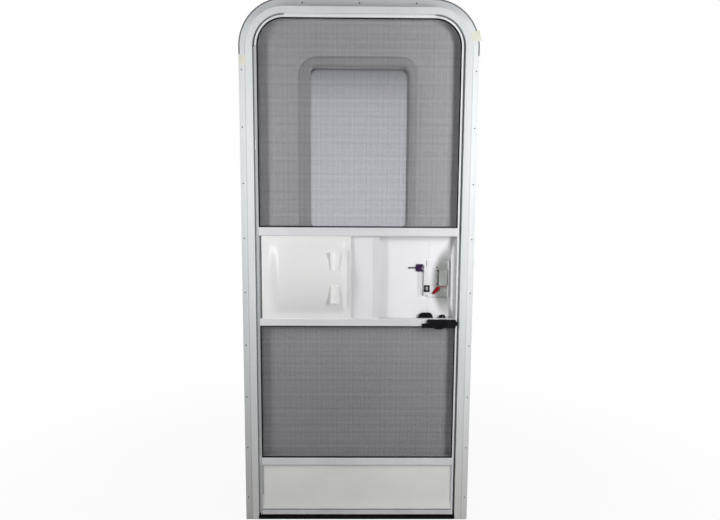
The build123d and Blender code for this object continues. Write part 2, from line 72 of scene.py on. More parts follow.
# two tall soft lamps, one each side of the camera, a little light from all round and more from behind
studio = {
    "lampLeft": {"place": (-1.10, -0.70, 1.40), "aim": (-0.80, 0.0, 1.25), "power": 11.2, "size": (0.30, 1.20)},
    "lampRight": {"place": (1.20, -1.20, 1.45), "aim": (0.80, 0.0, 1.25), "power": 24.0, "size": (0.50, 1.20)},
    "fill": 0.06,
    "rearFill": 0.80,
    "rearSpan": (0.05, 0.50),
    "floorHalf": 20.0,
    "floorTone": 0.60,
    "floorGlow": (0.90, 1.0),
    "shadowReach": 2.2,
}


def paleRays(tree):
    # rays for which the surroundings are plain white
    rays = tree.nodes.new("ShaderNodeLightPath").outputs
    seen = sums(tree, "MAXIMUM", rays["Is Camera Ray"], rays["Is Glossy Ray"])
    return sums(tree, "MAXIMUM", seen, rays["Is Transmission Ray"])


def setLamps():
    for name in ("lampLeft", "lampRight"):
        spec = studio[name]
        lamp = bpy.data.lights.new(name, "AREA")
        lamp.shape = "RECTANGLE"
        lamp.size, lamp.size_y = spec["size"]
        lamp.energy = spec["power"]
        holder = bpy.data.objects.new(name, lamp)
        bpy.context.collection.objects.link(holder)
        place = Vector(spec["place"])
        holder.location = place
        holder.rotation_euler = (Vector(spec["aim"]) - place).to_track_quat("-Z", "Y").to_euler()


def setSurround():
    world = bpy.data.worlds.new("whiteRoom")
    world.use_nodes = True
    bpy.context.scene.world = world
    tree = world.node_tree
    tree.nodes.clear()
    coords = tree.nodes.new("ShaderNodeTexCoord")
    behind = axesOf(tree, coords.outputs["Generated"])["Y"]
    strength = span(tree, behind, (studio["fill"], studio["rearFill"]), studio["rearSpan"])
    dim = wire(tree, "ShaderNodeBackground", {"Color": (1, 1, 1, 1), "Strength": strength})
    bright = wire(tree, "ShaderNodeBackground", {"Color": (1, 1, 1, 1), "Strength": 1.0})
    blend = wire(tree, "ShaderNodeMixShader", {0: paleRays(tree), 1: dim.outputs[0], 2: bright.outputs[0]})
    wire(tree, "ShaderNodeOutputWorld", {"Surface": blend.outputs[0]})


def setFloor():
    bm = bmesh.new()
    bmesh.ops.create_grid(bm, x_segments=1, y_segments=1, size=studio["floorHalf"])
    floor = makeObject("studioFloor", bm)
    paint = bpy.data.materials.new("floorPaint")
    paint.use_nodes = True
    tree = paint.node_tree
    tree.nodes.clear()
    tone = studio["floorTone"]
    matt = wire(tree, "ShaderNodeBsdfDiffuse", {"Color": (tone, tone, tone, 1)})
    glow = wire(tree, "ShaderNodeEmission", {"Color": (1, 1, 1, 1), "Strength": 1.0})
    coords = tree.nodes.new("ShaderNodeTexCoord")
    away = wire(tree, "ShaderNodeVectorMath", {0: coords.outputs["Object"]}, operation="LENGTH")
    glowShare = span(tree, away.outputs["Value"], studio["floorGlow"], (0.0, studio["shadowReach"]))
    share = sums(tree, "MULTIPLY", paleRays(tree), glowShare)
    blend = wire(tree, "ShaderNodeMixShader", {0: share, 1: matt.outputs[0], 2: glow.outputs[0]})
    wire(tree, "ShaderNodeOutputMaterial", {"Surface": blend.outputs[0]})
    floor.data.materials.append(paint)


def setStudio():
    setLamps()
    setSurround()
    setFloor()
    bpy.context.scene.view_settings.view_transform = "Standard"


def wire(tree, kind, inputs, **settings):
    made = tree.nodes.new(kind)
    for label, value in settings.items():
        setattr(made, label, value)
    for label, value in inputs.items():
        if isinstance(value, bpy.types.NodeSocket):
            tree.links.new(value, made.inputs[label])
        else:
            made.inputs[label].default_value = value
    return made


def makeObject(name, bm):
    mesh = bpy.data.meshes.new(name)
    bm.to_mesh(mesh)
    bm.free()
    piece = bpy.data.objects.new(name, mesh)
    bpy.context.collection.objects.link(piece)
    return piece


def startFinish(name):
    finish = bpy.data.materials.new(name)
    finish.use_nodes = True
    tree = finish.node_tree
    coords = tree.nodes.new("ShaderNodeTexCoord")
    return finish, tree, tree.nodes["Principled BSDF"], coords.outputs["Object"]


def noise(tree, where, scale, detail):
    return wire(tree, "ShaderNodeTexNoise", {"Vector": where, "Scale": scale, "Detail": detail}).outputs["Fac"]


def stretched(tree, where, scale):
    return wire(tree, "ShaderNodeMapping", {"Vector": where, "Scale": scale}).outputs[0]


def tones(tree, factor, dark, light, low=0.35, high=0.65):
    ramp = wire(tree, "ShaderNodeValToRGB", {"Fac": factor})
    ramp.color_ramp.elements[0].position = low
    ramp.color_ramp.elements[1].position = high
    ramp.color_ramp.elements[0].color = dark
    ramp.color_ramp.elements[1].color = light
    return ramp.outputs["Color"]


def span(tree, factor, ends=(0.0, 1.0), over=(0.0, 1.0), **settings):
    mapped = wire(tree, "ShaderNodeMapRange", {"Value": factor, "From Min": over[0], "From Max": over[1],
                                               "To Min": ends[0], "To Max": ends[1]}, **settings)
    return mapped.outputs[0]


def axesOf(tree, where):
    return wire(tree, "ShaderNodeSeparateXYZ", {0: where}).outputs


def sums(tree, operation, first, second):
    return wire(tree, "ShaderNodeMath", {0: first, 1: second}, operation=operation).outputs[0]


def relief(tree, height, depth, strength):
    return wire(tree, "ShaderNodeBump", {"Height": height, "Distance": depth, "Strength": strength}).outputs[0]


# painted metal and mouldings share one recipe: cloudy tone, fine grain, uneven gloss
recipe = {"cloudDetail": 5.0, "grainDetail": 2.0, "grainStrength": 0.35, "metal": 0.0, "shine": 0.5}
coats = {
    "powderCoat": {"dark": (0.74, 0.77, 0.79, 1), "light": (0.82, 0.85, 0.86, 1), "cloud": (9, 9, 2),
                   "grain": 1400, "depth": 0.0003, "gloss": (0.34, 0.52)},
    "screenCoat": {"dark": (0.70, 0.71, 0.73, 1), "light": (0.79, 0.80, 0.82, 1), "cloud": (12, 12, 2),
                   "grain": 1400, "depth": 0.0003, "gloss": (0.30, 0.46)},
    "railMoulding": {"dark": (0.71, 0.71, 0.735, 1), "light": (0.76, 0.76, 0.785, 1), "cloud": (5, 5, 5),
                     "grain": 700, "depth": 0.0002, "gloss": (0.28, 0.40)},
    "hatchPlastic": {"dark": (0.825, 0.825, 0.82, 1), "light": (0.865, 0.865, 0.86, 1), "cloud": (5, 5, 5),
                     "grain": 600, "depth": 0.0002, "gloss": (0.30, 0.42)},
    # whiter than the hatch plastic: painted highlight on the finger pulls
    "pullPlastic": {"dark": (0.89, 0.89, 0.885, 1), "light": (0.93, 0.93, 0.925, 1), "cloud": (5, 5, 5),
                    "grain": 600, "depth": 0.0002, "gloss": (0.26, 0.36)},
    "fixedPlastic": {"dark": (0.80, 0.80, 0.82, 1), "light": (0.86, 0.86, 0.88, 1), "cloud": (5, 5, 5),
                     "grain": 700, "depth": 0.0002, "gloss": (0.28, 0.40)},
    "whiteMoulding": {"dark": (0.80, 0.80, 0.81, 1), "light": (0.86, 0.86, 0.87, 1), "cloud": (5, 5, 5),
                      "grain": 700, "depth": 0.0002, "gloss": (0.28, 0.40)},
    "doorSkinPaint": {"dark": (0.85, 0.84, 0.875, 1), "light": (0.91, 0.90, 0.935, 1), "cloud": (4, 4, 3),
                      "grain": 500, "depth": 0.0004, "gloss": (0.40, 0.55)},
    "kickPaint": {"dark": (0.84, 0.85, 0.81, 1), "light": (0.91, 0.92, 0.88, 1), "cloud": (4, 4, 6),
                  "grain": 900, "depth": 0.0003, "gloss": (0.40, 0.55)},
    "blackMoulding": {"dark": (0.004, 0.004, 0.005, 1), "light": (0.010, 0.010, 0.011, 1),
                      "cloud": (60, 60, 60), "grain": 2200, "depth": 0.0004, "gloss": (0.38, 0.60),
                      "shine": 0.06},
    "blackRubber": {"dark": (0.004, 0.004, 0.004, 1), "light": (0.012, 0.011, 0.011, 1), "cloud": (40, 40, 40),
                    "grain": 1600, "depth": 0.0005, "gloss": (0.60, 0.85), "shine": 0.04},
    "strandCoat": {"dark": (0.034, 0.034, 0.038, 1), "light": (0.064, 0.064, 0.070, 1), "cloud": (30, 30, 30),
                   "grain": 3000, "depth": 0.0001, "gloss": (0.45, 0.65), "shine": 0.15},
    "paddleMoulding": {"dark": (0.27, 0.295, 0.28, 1), "light": (0.35, 0.37, 0.355, 1), "cloud": (40, 40, 40),
                       "grain": 1800, "depth": 0.0003, "gloss": (0.35, 0.55), "shine": 0.3},
    "slotPlastic": {"dark": (0.24, 0.25, 0.24, 1), "light": (0.40, 0.41, 0.40, 1), "cloud": (70, 70, 70),
                    "grain": 1800, "depth": 0.0003, "gloss": (0.45, 0.65), "shine": 0.2},
    "redMoulding": {"dark": (0.17, 0.004, 0.010, 1), "light": (0.28, 0.008, 0.016, 1), "cloud": (60, 60, 60),
                    "grain": 1800, "depth": 0.0002, "gloss": (0.40, 0.55), "shine": 0.1},
    "keyPlastic": {"dark": (0.022, 0.006, 0.036, 1), "light": (0.044, 0.012, 0.070, 1), "cloud": (80, 80, 80),
                   "grain": 1800, "depth": 0.0002, "gloss": (0.20, 0.35), "shine": 0.2},
    "tagCard": {"dark": (0.80, 0.80, 0.81, 1), "light": (0.88, 0.88, 0.89, 1), "cloud": (90, 90, 90),
                "grain": 1200, "depth": 0.0001, "gloss": (0.35, 0.50)},
    "tagInk": {"dark": (0.004, 0.004, 0.005, 1), "light": (0.012, 0.012, 0.013, 1), "cloud": (90, 90, 90),
               "grain": 1800, "depth": 0.0001, "gloss": (0.50, 0.70), "shine": 0.05},
    "tapePaper": {"dark": (0.75, 0.735, 0.61, 1), "light": (0.80, 0.785, 0.68, 1), "cloud": (60, 60, 320),
                  "grain": 900, "depth": 0.0004, "gloss": (0.70, 0.85)},
    "foamCore": {"dark": (0.55, 0.50, 0.36, 1), "light": (0.80, 0.75, 0.58, 1), "cloud": (120, 120, 120),
                 "grain": 420, "depth": 0.0020, "gloss": (0.80, 0.95)},
    "platedSteel": {"dark": (0.42, 0.42, 0.43, 1), "light": (0.62, 0.62, 0.63, 1), "cloud": (30, 30, 200),
                    "grain": 900, "depth": 0.0002, "gloss": (0.22, 0.42), "metal": 1.0},
    "bladeSteel": {"dark": (0.030, 0.030, 0.034, 1), "light": (0.075, 0.075, 0.080, 1), "cloud": (60, 60, 300),
                   "grain": 1200, "depth": 0.0002, "gloss": (0.25, 0.45), "metal": 1.0},
    "screwSteel": {"dark": (0.20, 0.20, 0.21, 1), "light": (0.36, 0.36, 0.37, 1), "cloud": (200, 200, 200),
                   "grain": 2000, "depth": 0.0002, "gloss": (0.25, 0.45), "metal": 1.0},
    "edgeMetal": {"dark": (0.80, 0.80, 0.81, 1), "light": (0.88, 0.88, 0.89, 1), "cloud": (40, 40, 200),
                  "grain": 1200, "depth": 0.0002, "gloss": (0.28, 0.42), "metal": 1.0},
    "trimMoulding": {"dark": (0.66, 0.66, 0.68, 1), "light": (0.72, 0.72, 0.745, 1), "cloud": (5, 5, 5),
                     "grain": 700, "depth": 0.0002, "gloss": (0.28, 0.40)},
    "hingeStileCoat": {"dark": (0.42, 0.43, 0.44, 1), "light": (0.50, 0.51, 0.52, 1), "cloud": (12, 12, 2),
                       "grain": 1400, "depth": 0.0003, "gloss": (0.30, 0.46)},
    "headRailCoat": {"dark": (0.83, 0.83, 0.85, 1), "light": (0.90, 0.90, 0.92, 1), "cloud": (12, 12, 2),
                     "grain": 1400, "depth": 0.0003, "gloss": (0.30, 0.46)},
    "pileGrey": {"dark": (0.40, 0.41, 0.42, 1), "light": (0.54, 0.55, 0.56, 1), "cloud": (90, 90, 600),
                 "grain": 2600, "depth": 0.0008, "gloss": (0.80, 0.95), "shine": 0.1},
    # paler than the hinge-side pile: painted light in the head gap
    "palePile": {"dark": (0.72, 0.73, 0.74, 1), "light": (0.82, 0.83, 0.84, 1), "cloud": (600, 90, 90),
                 "grain": 2600, "depth": 0.0008, "gloss": (0.80, 0.95), "shine": 0.1},
    "frameCoat": {"dark": (0.66, 0.69, 0.71, 1), "light": (0.73, 0.76, 0.77, 1), "cloud": (9, 9, 2),
                  "grain": 1400, "depth": 0.0003, "gloss": (0.34, 0.52)},
}
# two that start alike and are painted over further on
coats["footRailCoat"] = coats["screenCoat"]
coats["lockShade"] = coats["doorSkinPaint"]


def makeCoat(name):
    coat = {**recipe, **coats[name]}
    finish, tree, shader, where = startFinish(name)
    cloud = noise(tree, stretched(tree, where, coat["cloud"]), 1.0, coat["cloudDetail"])
    grain = noise(tree, where, coat["grain"], coat["grainDetail"])
    tree.links.new(tones(tree, cloud, coat["dark"], coat["light"]), shader.inputs["Base Color"])
    tree.links.new(span(tree, cloud, coat["gloss"]), shader.inputs["Roughness"])
    tree.links.new(relief(tree, grain, coat["depth"], coat["grainStrength"]), shader.inputs["Normal"])
    shader.inputs["Metallic"].default_value = coat["metal"]
    shader.inputs["Specular IOR Level"].default_value = coat["shine"]
    return finish


def tinted(tree, share, plain, other):
    mixed = wire(tree, "ShaderNodeMix", {0: share, 6: plain, 7: other}, data_type="RGBA")
    return mixed.outputs[2]


def shadedBy(tree, plain, bands):
    mixed = wire(tree, "ShaderNodeMix", {0: 1.0, 6: plain, 7: bands},
                 data_type="RGBA", blend_type="MULTIPLY")
    return mixed.outputs[2]


def heightBands(tree, where, bands):
    # colours that follow the height, straight between the given levels
    foot, head = bands[0][0], bands[-1][0]
    share = span(tree, axesOf(tree, where)["Z"], over=(foot, head))
    ramp = wire(tree, "ShaderNodeValToRGB", {"Fac": share})
    stops = ramp.color_ramp.elements
    while len(stops) < len(bands):
        stops.new(0.5)
    for stop, (level, colour) in zip(stops, bands):
        stop.position = (level - foot) / (head - foot)
        stop.color = colour
    return ramp.outputs["Color"]


def overpaint(finish, painter):
    # a painter works over the plain colour of a coat
    tree = finish.node_tree
    colour = tree.nodes["Principled BSDF"].inputs["Base Color"]
    where = tree.nodes["Texture Coordinate"].outputs["Object"]
    tree.links.new(painter(tree, colour.links[0].from_socket, where), colour)


# the frame's paint: painted light on the flange, painted shade over the head flange,
# a painted shade line where the jamb meets the flange, dark edge round the head corners, darker and warmer
# towards the foot
framePaintedLightAndMarks = {
    "faceFrom": -0.0030,
    "bend": (0.2530, 1.7080),
    "flangeFrom": 0.1285,
    "flangeHighlightTone": (0.78, 0.81, 0.82, 1),
    "flangeHighlightShare": 0.55,
    "seamShadeFrom": 0.1382,
    "seamShadeHalf": 0.0018,
    "seamShadeTone": (0.42, 0.43, 0.45, 1),
    "seamShadeShare": 0.55,
    "edgeCentre": 1.7150,
    "edgeFrom": 0.1556,
    "edgeStart": 1.6880,
    "edgeSide": 0.0010,
    "edgeTone": (0.085, 0.085, 0.090, 1),
    "streaks": (900, 900, 6),
    "streakDetail": 2.0,
    "footTones": ((0.0, (0.94, 0.90, 0.87, 1)), (0.15, (0.95, 0.91, 0.885, 1)),
                  (0.45, (1.0, 0.99, 0.97, 1)), (0.80, (1.0, 1.0, 1.0, 1))),
    "headFrom": (1.7900, 1.8500),
    "headShadeTone": (0.46, 0.47, 0.49, 1),
    "headShadeShare": 0.60,
}


def paintFrame(tree, plain, where):
    lightAndMarks = framePaintedLightAndMarks
    axes = axesOf(tree, where)
    beyond = sums(tree, "SUBTRACT", sums(tree, "ABSOLUTE", axes["X"], 0.0), lightAndMarks["bend"][0])
    side = sums(tree, "MAXIMUM", beyond, 0.0)

    def outwards(level):
        over = sums(tree, "MAXIMUM", sums(tree, "SUBTRACT", axes["Z"], level), 0.0)
        squares = sums(tree, "ADD", sums(tree, "MULTIPLY", side, side), sums(tree, "MULTIPLY", over, over))
        return sums(tree, "SQRT", squares, 0.0)

    away = outwards(lightAndMarks["bend"][1])
    onFace = sums(tree, "GREATER_THAN", axes["Y"], lightAndMarks["faceFrom"])
    onFlange = sums(tree, "MULTIPLY", onFace, sums(tree, "GREATER_THAN", away, lightAndMarks["flangeFrom"]))
    streak = noise(tree, stretched(tree, where, lightAndMarks["streaks"]), 1.0, lightAndMarks["streakDetail"])
    # painted light: the flange is lightened, unevenly along streaks
    flangeHighlightShare = sums(tree, "MULTIPLY", onFlange, sums(tree, "MULTIPLY", streak, 2 * lightAndMarks["flangeHighlightShare"]))
    colour = tinted(tree, flangeHighlightShare, plain, lightAndMarks["flangeHighlightTone"])
    # painted shade over the head flange
    overHead = span(tree, axes["Z"], (0.0, lightAndMarks["headShadeShare"]), lightAndMarks["headFrom"])
    colour = tinted(tree, sums(tree, "MULTIPLY", onFlange, overHead), colour, lightAndMarks["headShadeTone"])
    # painted shade: a dark line where the jamb meets the flange
    nearSeam = sums(tree, "ABSOLUTE", sums(tree, "SUBTRACT", away, lightAndMarks["seamShadeFrom"]), 0.0)
    seamShade = sums(tree, "MULTIPLY", onFace, sums(tree, "LESS_THAN", nearSeam, lightAndMarks["seamShadeHalf"]))
    colour = tinted(tree, sums(tree, "MULTIPLY", seamShade, lightAndMarks["seamShadeShare"]), colour, lightAndMarks["seamShadeTone"])
    edge = sums(tree, "GREATER_THAN", outwards(lightAndMarks["edgeCentre"]), lightAndMarks["edgeFrom"])
    inBend = sums(tree, "MULTIPLY", sums(tree, "GREATER_THAN", axes["Z"], lightAndMarks["edgeStart"]),
                  sums(tree, "GREATER_THAN", side, lightAndMarks["edgeSide"]))
    colour = tinted(tree, sums(tree, "MULTIPLY", edge, inBend), colour, lightAndMarks["edgeTone"])
    return shadedBy(tree, colour, heightBands(tree, where, lightAndMarks["footTones"]))


# white moulding of the lock, grey with painted shade in the scoop round the paddle
lockPaintedShade = {
    "edge": (0.2500, 0.2820),
    "wall": (0.3140, 0.3270),
    "centre": 0.9050,
    "reach": (0.0500, 0.1750),
    "bow": 2.6,
    "tone": (0.23, 0.24, 0.23, 1),
}


def paintLock(tree, plain, where):
    axes = axesOf(tree, where)

    def fade(value, ends):
        return span(tree, value, over=ends, interpolation_type="SMOOTHSTEP")

    away = sums(tree, "ABSOLUTE", sums(tree, "SUBTRACT", axes["Z"], lockPaintedShade["centre"]), 0.0)
    bow = sums(tree, "MULTIPLY", sums(tree, "MULTIPLY", away, away), lockPaintedShade["bow"])
    inside = fade(sums(tree, "SUBTRACT", axes["X"], bow), lockPaintedShade["edge"])
    wall = sums(tree, "SUBTRACT", 1.0, fade(axes["X"], lockPaintedShade["wall"]))
    near = sums(tree, "SUBTRACT", 1.0, fade(away, lockPaintedShade["reach"]))
    # painted shade in the scoop, fading out towards the wall and away from the paddle's height
    share = sums(tree, "MULTIPLY", sums(tree, "MULTIPLY", inside, wall), near)
    return tinted(tree, share, plain, lockPaintedShade["tone"])


# bottom rail of the screen door: painted light and shade in bands by height, the lip at full tone as lit from
# above, a painted shade line at the joint, the face a little darker
footRailLightAndShade = {
    "bands": ((0.0460, (0.92, 0.88, 0.88, 1)), (0.0490, (0.92, 0.88, 0.88, 1)),
              (0.0510, (0.92, 0.91, 0.92, 1)), (0.0615, (0.92, 0.91, 0.92, 1)),
              (0.0625, (0.18, 0.18, 0.19, 1)), (0.0650, (0.18, 0.18, 0.19, 1)),
              (0.0662, (1.0, 1.0, 1.0, 1)), (0.0700, (1.0, 1.0, 1.0, 1))),
}


def paintFootRail(tree, plain, where):
    # painted light and shade, band by band
    return shadedBy(tree, plain, heightBands(tree, where, footRailLightAndShade["bands"]))


# obscured glass, darkened a little towards its head by painted shade
glazing = {
    "tints": ((1.080, (0.665, 0.67, 0.725, 1)), (1.240, (0.655, 0.66, 0.715, 1)),
              (1.457, (0.60, 0.605, 0.66, 1)), (1.528, (0.575, 0.58, 0.63, 1)),
              (1.565, (0.49, 0.495, 0.54, 1)), (1.607, (0.41, 0.415, 0.455, 1)),
              (1.630, (0.33, 0.335, 0.37, 1)), (1.655, (0.29, 0.295, 0.325, 1))),
    "ior": 1.46,
    "rough": (0.34, 0.46),
    "pebble": 260,
    "depth": 0.0010,
    "strength": 0.5,
}


def makeGlazing():
    finish, tree, shader, where = startFinish("obscuredGlass")
    cells = wire(tree, "ShaderNodeTexVoronoi", {"Vector": where, "Scale": glazing["pebble"]})
    pebble = cells.outputs["Distance"]
    # painted shade: the tints darken towards the head
    tree.links.new(heightBands(tree, where, glazing["tints"]), shader.inputs["Base Color"])
    shader.inputs["Transmission Weight"].default_value = 1.0
    shader.inputs["IOR"].default_value = glazing["ior"]
    tree.links.new(span(tree, pebble, glazing["rough"]), shader.inputs["Roughness"])
    tree.links.new(relief(tree, pebble, glazing["depth"], glazing["strength"]), shader.inputs["Normal"])
    return finish


# clear creased film of the key's sleeve
film = {
    "tints": ((0.70, 0.71, 0.73, 1), (0.80, 0.81, 0.83, 1)),
    "cover": 0.20,
    "rough": (0.18, 0.34),
    "crease": 190,
    "creaseDetail": 4.0,
    "depth": 0.0006,
    "strength": 0.5,
}


def makeFilm():
    finish, tree, shader, where = startFinish("sleeveFilm")
    crease = noise(tree, where, film["crease"], film["creaseDetail"])
    tree.links.new(tones(tree, crease, *film["tints"]), shader.inputs["Base Color"])
    shader.inputs["Alpha"].default_value = film["cover"]
    tree.links.new(span(tree, crease, film["rough"]), shader.inputs["Roughness"])
    tree.links.new(relief(tree, crease, film["depth"], film["strength"]), shader.inputs["Normal"])
    return finish


setCamera()
setStudio()
finishes = {name: makeCoat(name) for name in coats}
overpaint(finishes["frameCoat"], paintFrame)
overpaint(finishes["footRailCoat"], paintFootRail)
overpaint(finishes["lockShade"], paintLock)
finishes["obscuredGlass"] = makeGlazing()
finishes["sleeveFilm"] = makeFilm()
print("camera, lamps and", len(finishes), "finishes set")

# which finish each CAD node wears
wears = {
    "frameCoat": ("left_jamb", "right_jamb", "head_jamb", "head_corners", "sill"),
    "powderCoat": ("hinge_frame_leaves", "hinge_door_leaves", "screen_hinge_arms", "door_left_edge",
                   "door_right_edge", "door_head_edge", "door_edge_corners", "door_bottom_edge"),
    "screenCoat": ("screen_right_stile", "screen_corners", "kick_rail"),
    "hingeStileCoat": ("screen_left_stile",),
    "headRailCoat": ("screen_head_rail",),
    "footRailCoat": ("screen_bottom_rail",),
    "railMoulding": ("hatch_low_rail", "hatch_high_rail", "panel_edge_strip"),
    "fixedPlastic": ("fixed_panel",),
    "whiteMoulding": ("window_outer_frame",),
    "lockShade": ("lock_case",),
    "doorSkinPaint": ("inner_skin", "outer_skin"),
    "blackMoulding": ("screen_catch_case", "screen_catch_bolt", "outer_handle"),
    "blackRubber": ("threshold_strip", "frame_seal", "mesh_cords"),
    "foamCore": ("door_core",),
    "platedSteel": ("strike_plate", "door_bolt"),
    "obscuredGlass": ("window_glass",),
}


def dressNode(name, finish):
    mesh = nodes[name].data
    mesh.materials.clear()
    mesh.materials.append(finish)


for finishName, names in wears.items():
    for name in names:
        dressNode(name, finishes[finishName])
print("CAD nodes dressed")


def makePiece(name, bm, finish, body, replaced=None, sharp=35):
    piece = makeObject(name, bm)
    piece.data.materials.append(finishes[finish])
    piece.data.shade_smooth()
    piece.data.set_sharp_from_angle(angle=math.radians(sharp))
    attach(piece, body)
    if replaced:
        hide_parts(replaced)
    return piece


def upright(x0, x1, z0, z1, y):
    # lays a unit grid upright, facing the inside of the vehicle
    place = Matrix.Translation(((x0 + x1) / 2, y, (z0 + z1) / 2))
    return place @ Matrix.Rotation(math.pi / 2, 4, "X") @ Matrix.Diagonal((x1 - x0, z1 - z0, 1, 1))


def gridSheet(cells, outline, front):
    bm = bmesh.new()
    bmesh.ops.create_grid(bm, x_segments=cells[0], y_segments=cells[1], size=0.5,
                          matrix=upright(*outline, front))
    return bm


def vertsIn(made):
    return [item for item in made["geom"] if isinstance(item, bmesh.types.BMVert)]


def addSkirt(bm):
    # side faces all round a sheet, and the vertices of their free edge
    rim = [edge for edge in bm.edges if edge.is_boundary]
    return vertsIn(bmesh.ops.extrude_edge_only(bm, edges=rim))


def thicken(bm, thickness):
    bmesh.ops.solidify(bm, geom=bm.faces[:], thickness=thickness)
    bmesh.ops.recalc_face_normals(bm, faces=bm.faces)


def roundCorners(bm, radius, steps):
    bmesh.ops.bevel(bm, geom=bm.verts[:], offset=radius, offset_type="OFFSET", affect="VERTICES",
                    segments=steps, profile=0.5, material=-1)


def soften(piece, width):
    edge = piece.modifiers.new("soften", "BEVEL")
    edge.width = width
    edge.segments = 3


def addWall(piece, thickness):
    # the wall grows backwards from the face
    wall = piece.modifiers.new("wall", "SOLIDIFY")
    wall.thickness = thickness
    wall.offset = -1.0


def joinInto(bm, part):
    carrier = bpy.data.meshes.new("carrier")
    part.to_mesh(carrier)
    part.free()
    bm.from_mesh(carrier)
    bpy.data.meshes.remove(carrier)


def addDeep(bm, part, front, back, rounding, steps):
    # gives a flat part its depth and a rounded front edge, and joins it into a bigger mesh
    moved = vertsIn(bmesh.ops.extrude_face_region(part, geom=part.faces[:]))
    bmesh.ops.translate(part, vec=(0, back - front, 0), verts=moved)
    bmesh.ops.recalc_face_normals(part, faces=part.faces)
    rim = [edge for edge in part.edges if all(abs(v.co.y - front) < touching for v in edge.verts)]
    bmesh.ops.bevel(part, geom=rim, offset=rounding, offset_type="OFFSET", affect="EDGES",
                    segments=steps, profile=0.5, material=-1)
    joinInto(bm, part)


# small plates: steps of the rounded corners and of the front edge
plate = {"cornerSteps": 5, "edgeSteps": 2}


def addPlate(bm, outline, front, back, corner, rounding):
    part = gridSheet((1, 1), outline, front)
    roundCorners(part, corner, plate["cornerSteps"])
    addDeep(bm, part, front, back, rounding, plate["edgeSteps"])


# insect mesh: straight strands both ways, cut off along the rounded head of the screen door
weave = {"pitch": 0.00160, "strand": 0.000272, "layer": 0.00020, "headRadius": 0.0915,
         "uneven": 0.11, "lag": 9.0, "upBeats": (0.53, 0.71, 0.97), "crossBeats": (0.31, 0.47, 0.67)}


def addStrand(bm, start, end, step, beats):
    wave = sum(math.sin(step * beat + weave["lag"] * beat) for beat in beats)
    thick = weave["strand"] * (1 + weave["uneven"] * wave)
    middle = (start + end) / 2
    size = Matrix.Diagonal([max(abs(c), thick) for c in (end - start)] + [1.0])
    bmesh.ops.create_cube(bm, size=1.0, matrix=Matrix.Translation(middle) @ size)


def weaveSheet(name, node, radius):
    low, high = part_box(node)
    depth = (low[1] + high[1]) / 2
    half, foot, head = high[0], low[2], high[2]
    bm = bmesh.new()

    def cutBack(beyond):
        return radius - math.sqrt(max(radius ** 2 - max(beyond, 0.0) ** 2, 0.0))

    for step in range(int(2 * half / weave["pitch"]) + 1):
        x = -half + step * weave["pitch"]
        top = head - cutBack(abs(x) - (half - radius))
        y = depth - weave["layer"]
        addStrand(bm, Vector((x, y, foot)), Vector((x, y, top)), step, weave["upBeats"])
    for step in range(int((head - foot) / weave["pitch"]) + 1):
        z = foot + step * weave["pitch"]
        reach = half - cutBack(z - (head - radius))
        y = depth + weave["layer"]
        addStrand(bm, Vector((-reach, y, z)), Vector((reach, y, z)), step, weave["crossBeats"])
    sheet = makeObject(name, bm)
    sheet.data.materials.append(finishes["strandCoat"])
    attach(sheet, "screen_door")
    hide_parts(node)


weaveSheet("upperInsectMesh", "upper_mesh", weave["headRadius"])
weaveSheet("lowerInsectMesh", "lower_mesh", 0.0)
print("insect mesh woven")

# sliding hatch: a lying barrel that swells out of a thin plate, and two finger pulls
hatch = {
    "plateFront": -0.0410,
    "swellX": (-0.3180, -0.0400),
    "swellZ": (0.7980, 1.0535),
    "rise": 0.0280,
    "ends": (0.0460, 0.0150),
    "foot": 0.0030,
    "cells": (104, 64),
    "sharp": 180,
    "wall": 0.0030,
    "smooth": 1,
    "pullX": -0.0818,
    "pullCells": (16, 8),
    "pullEnds": (0.0270, 0.0910),
    "pullWidths": (0.0230, 0.0290),
    "pullLevels": (-0.0725, -0.0710),
    "pullGroove": 0.0048,
    "grooveHalf": 0.30,
    "pullSoften": 0.0014,
}


def easedStep(share):
    share = max(0.0, min(1.0, share))
    return share * share * (3 - 2 * share)


def swellHeight(x, z):
    left, right = hatch["swellX"]
    low, high = hatch["swellZ"]
    rise = hatch["rise"]
    half = (high - low) / 2
    radius = (half ** 2 + rise ** 2) / (2 * rise)
    off = min(abs(z - (low + high) / 2), radius)
    barrel = math.sqrt(radius ** 2 - off ** 2) - (radius - rise)
    blended = (barrel + math.sqrt(barrel ** 2 + hatch["foot"] ** 2)) / 2
    return blended * easedStep((x - left) / hatch["ends"][0]) * easedStep((right - x) / hatch["ends"][1])


def makeHatch():
    low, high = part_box("slider_panel")
    bm = gridSheet(hatch["cells"], (low[0], high[0], low[2], high[2]), hatch["plateFront"])
    for v in bm.verts:
        v.co.y -= swellHeight(v.co.x, v.co.z)
    panel = makePiece("hatchMoulding", bm, "hatchPlastic", "slider", "slider_panel",
                      hatch["sharp"])
    addWall(panel, hatch["wall"])
    smooth = panel.modifiers.new("smooth", "SUBSURF")
    smooth.levels = smooth.render_levels = hatch["smooth"]


def makePull(name, side):
    middle = sum(hatch["swellZ"]) / 2
    ends = (hatch["pullWidths"], hatch["pullEnds"], hatch["pullLevels"])
    bm = bmesh.new()
    bmesh.ops.create_grid(bm, x_segments=hatch["pullCells"][0], y_segments=hatch["pullCells"][1], size=0.5)
    for v in bm.verts:
        across, along = v.co.x, v.co.y + 0.5
        width, away, level = (near + (far - near) * along for near, far in ends)
        groove = hatch["pullGroove"] * max(0.0, 1 - (across / hatch["grooveHalf"]) ** 2)
        v.co = (hatch["pullX"] + across * width, level + groove, middle + side * away)
    for v in addSkirt(bm):
        v.co.y = hatch["plateFront"] - swellHeight(v.co.x, v.co.z) + hatch["wall"] / 2
    bmesh.ops.recalc_face_normals(bm, faces=bm.faces)
    soften(makePiece(name, bm, "pullPlastic", "slider"), hatch["pullSoften"])


makeHatch()
makePull("upperFingerPull", 1)
makePull("lowerFingerPull", -1)
print("sliding hatch moulded")

